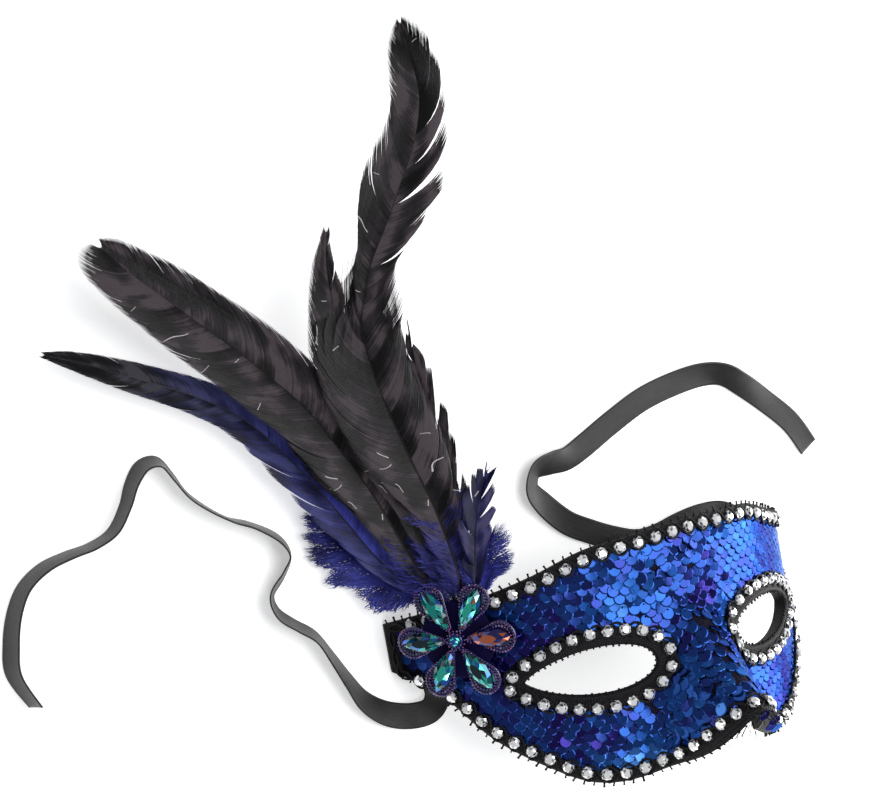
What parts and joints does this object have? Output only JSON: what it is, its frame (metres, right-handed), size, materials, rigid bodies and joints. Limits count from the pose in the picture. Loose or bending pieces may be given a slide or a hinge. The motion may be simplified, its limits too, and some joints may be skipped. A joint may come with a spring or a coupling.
{
  "type": "masquerade half mask",
  "caption": "Half-face masquerade mask with eye holes, sequin cloth, rhinestone braid edging, a side plume with a jewelled flower, and two satin tie ribbons.",
  "frame": {"origin": "on the mask's mid-plane, level with the eyes, in the plane of the two temple ends that it rests on", "axes": "+X to the viewer's right, +Y towards the brow, +Z the way the mask looks, up from the table"},
  "size_m": [0.3554, 0.2766, 0.0988],
  "materials": {
    "shell": "matte",
    "felt": "matte",
    "sequins": "gloss",
    "braid": "matte",
    "binding": "matte",
    "rhinestone": "polished",
    "petal": "gloss",
    "bead": "gloss",
    "jewel": "polished",
    "black_feather": "satin",
    "blue_feather": "satin",
    "satin": "satin"
  },
  "bodies": {
    "root": {"mask_shell": "shell", "felt_lining": "felt", "sequin_cloth": "sequins", "outer_braid": "braid", "left_eye_braid": "braid", "right_eye_braid": "braid", "left_eye_binding": "binding", "right_eye_binding": "binding", "top_edge_stones": "rhinestone", "bottom_edge_stones": "rhinestone", "left_eye_stones": "rhinestone", "right_eye_stones": "rhinestone", "flower_felt": "felt", "petal_plates": "petal", "petal_bead_rims": "bead", "petal_stones": "jewel", "flower_centre_cup": "bead", "flower_centre_stone": "jewel", "quill_pad": "felt", "tall_coque_feather": "black_feather", "split_coque_feather": "black_feather", "short_coque_feather": "black_feather", "broad_coque_feather": "black_feather", "middle_coque_feather": "black_feather", "blue_hackle_feather": "blue_feather", "side_sprig_feather": "black_feather", "left_marabou": "blue_feather", "right_marabou": "blue_feather", "left_ribbon": "satin", "right_ribbon": "satin", "left_ribbon_patch": "felt", "right_ribbon_patch": "felt", "left_ribbon_stitches": "binding", "right_ribbon_stitches": "binding"}
  },
  "joints": []
}
